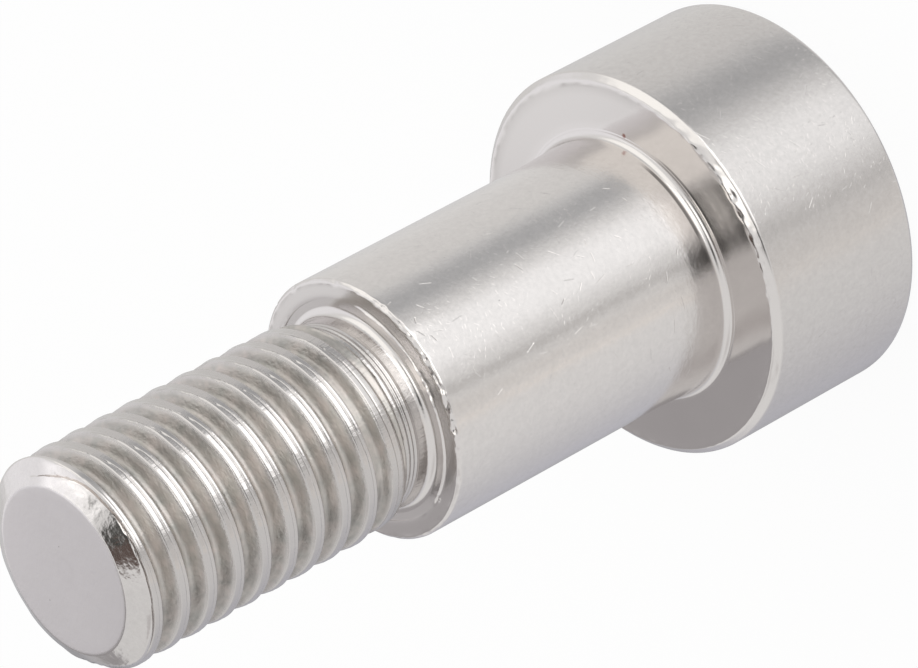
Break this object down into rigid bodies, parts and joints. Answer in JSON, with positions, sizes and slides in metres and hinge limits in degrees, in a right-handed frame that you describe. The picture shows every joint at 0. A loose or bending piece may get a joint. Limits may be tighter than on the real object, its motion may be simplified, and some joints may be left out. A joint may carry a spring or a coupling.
{
  "type": "shoulder bolt",
  "caption": "Steel shoulder bolt: plain round head with a hexagon socket, a smooth ground shoulder and a right-hand threaded end, to hold and pivot parts.",
  "frame": {"origin": "on the bolt's axis, in the plane of the head's end face, on which the bolt stands", "axes": "+Z along the bolt's axis, from the head's end face to the thread's tip; X and Y across the head, with X through two corners of the hexagon socket"},
  "size_m": [0.018, 0.018, 0.0414],
  "materials": {
    "stainless_steel": "semi-bright turned stainless steel with fine handling scratches"
  },
  "bodies": {
    "root": {"shoulder_bolt": "stainless_steel"}
  },
  "joints": []
}
